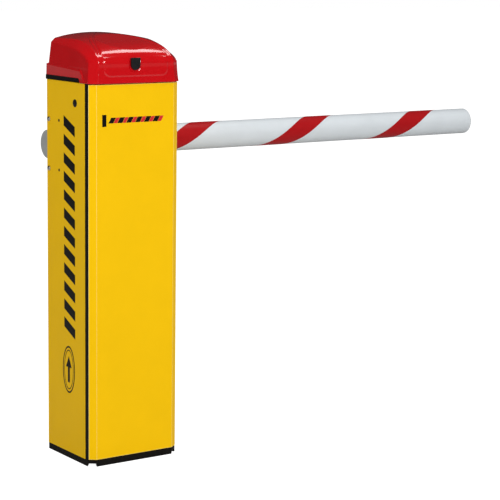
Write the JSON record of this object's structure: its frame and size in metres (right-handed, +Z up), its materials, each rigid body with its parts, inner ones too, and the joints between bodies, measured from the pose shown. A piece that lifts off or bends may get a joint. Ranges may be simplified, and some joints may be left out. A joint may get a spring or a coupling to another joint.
{
  "type": "parking barrier gate",
  "caption": "Floor-standing cabinet with a hood and a hinged door, holding a crank drive that raises a round boom on its rear face",
  "frame": {"origin": "centre of the four anchor holes, on the floor under the middle of the cabinet", "axes": "+X runs along the lowered boom, away from the cabinet; +Y points out of the rear face, where the boom is; +Z is up"},
  "size_m": [1.5045, 0.3538, 1.105],
  "materials": {
    "base_black": "black paint, satin",
    "cabinet_yellow": "yellow powder coat, semi-gloss",
    "seal_rubber": "black rubber, matte",
    "zinc_steel": "zinc plated",
    "black_plastic": "black moulded plastic",
    "arm_steel": "dark grey paint",
    "bright_steel": "turned and ground steel",
    "gearbox_aluminium": "die cast",
    "bronze": "cut bronze",
    "rotor_steel": "laminated steel with varnish",
    "spring_steel": "oiled spring steel",
    "grey_plastic": "light grey moulded plastic",
    "charger_aluminium": "anodised, ribbed",
    "boom_white": "white powder coat, semi-gloss",
    "cap_grey": "grey moulded plastic",
    "hood_red": "red moulded plastic, glossy",
    "knob_red": "red moulded plastic",
    "toggle_blue": "dark blue plastic",
    "button_green": "green plastic"
  },
  "bodies": {
    "cabinet": {"base_frame": "base_black", "cabinet_shell": "cabinet_yellow", "door_gasket": "seal_rubber", "hinge_pins": "zinc_steel", "hole_plug": "black_plastic", "chassis_bolts": "zinc_steel", "chassis_screws": "zinc_steel", "drive_chassis": "zinc_steel", "bearing_housings": "arm_steel", "shaft_bearings": "bright_steel", "bearing_bolts": "zinc_steel", "gearbox_housing": "gearbox_aluminium", "gearbox_cover": "gearbox_aluminium", "gearbox_screws": "zinc_steel", "motor_can": "arm_steel", "motor_end_cap": "arm_steel", "stop_buffers": "seal_rubber", "rod_guide": "zinc_steel", "control_box": "grey_plastic", "control_lid": "grey_plastic", "battery": "black_plastic", "battery_strap": "zinc_steel", "charger": "charger_aluminium", "din_rail": "zinc_steel", "circuit_breaker": "grey_plastic", "limit_switches": "black_plastic", "cable_glands": "black_plastic", "balance_spring": "spring_steel", "hood_striker": "zinc_steel"},
    "boom": {"main_shaft": "bright_steel", "lever_arm": "arm_steel", "lever_pin": "zinc_steel", "boom_bracket": "arm_steel", "boom_saddles": "seal_rubber", "u_bolts": "zinc_steel", "boom_tube": "boom_white", "boom_end_caps": "cap_grey", "shaft_key": "zinc_steel", "shaft_seal": "seal_rubber", "limit_cam": "black_plastic"},
    "crank": {"output_shaft": "bright_steel", "worm_wheel": "bronze", "crank_arm": "arm_steel", "crank_pin": "zinc_steel"},
    "link": {"rod_ends": "bright_steel", "link_tube": "zinc_steel", "link_locknuts": "zinc_steel"},
    "worm": {"worm_shaft": "bright_steel", "motor_rotor": "rotor_steel", "release_rod": "bright_steel", "release_knob": "knob_red"},
    "hood": {"hood": "hood_red", "hood_vent_strips": "seal_rubber"},
    "hood_lock": {"lock_barrel": "bright_steel", "lock_cam": "zinc_steel"},
    "lock_flap": {"lock_cover": "black_plastic"},
    "door": {"door_panel": "cabinet_yellow", "door_stiffener": "cabinet_yellow"},
    "breaker_lever": {"breaker_toggle": "toggle_blue"},
    "button": {"control_button": "button_green"}
  },
  "joints": [
    {"name": "boom_lift", "type": "hinge", "parent": "cabinet", "child": "boom", "pos_m": [0, 0.1, 0.805], "axis": [0, -1, 0], "range_deg": [0, 90], "deforming": ["balance_spring"]},
    {"name": "crank_turn", "type": "hinge", "parent": "cabinet", "child": "crank", "pos_m": [0, 0, 0.6], "axis": [0, -1, 0], "range_deg": [0, 90]},
    {"name": "link_swing", "type": "hinge", "parent": "crank", "child": "link", "pos_m": [-0.0495, 0.033, 0.6495], "axis": [0, -1, 0], "range_deg": [-90, 0]},
    {"name": "worm_turn", "type": "hinge", "parent": "cabinet", "child": "worm", "pos_m": [0.057, -0.042, 0.6], "axis": [0, 0, -1], "range_deg": [0, 2700]},
    {"name": "hood_lift", "type": "slide", "parent": "cabinet", "child": "hood", "axis": [0, 0, 1], "range_m": [0, 0.25]},
    {"name": "hood_lock_turn", "type": "hinge", "parent": "hood", "child": "hood_lock", "pos_m": [-0.0054, -0.1, 1.03], "axis": [0, -1, 0], "range_deg": [0, 90]},
    {"name": "lock_flap_swing", "type": "hinge", "parent": "hood", "child": "lock_flap", "pos_m": [-0.0054, -0.115, 1.044], "axis": [0, -1, 0], "range_deg": [0, 130]},
    {"name": "door_swing", "type": "hinge", "parent": "cabinet", "child": "door", "pos_m": [0.1285, -0.094, 0.5], "axis": [0, 0, 1], "range_deg": [0, 110]},
    {"name": "breaker_flip", "type": "hinge", "parent": "cabinet", "child": "breaker_lever", "pos_m": [-0.074, 0.04585, 0.441], "axis": [1, 0, 0], "range_deg": [0, 70]},
    {"name": "button_press", "type": "slide", "parent": "cabinet", "child": "button", "axis": [0, 1, 0], "range_m": [0, 0.003], "stiffness_N_per_m": 300}
  ],
  "couplings": [
    {"joint": "crank_turn", "follows": "boom_lift", "ratio": 1},
    {"joint": "link_swing", "follows": "boom_lift", "ratio": -1},
    {"joint": "worm_turn", "follows": "boom_lift", "ratio": 30}
  ]
}
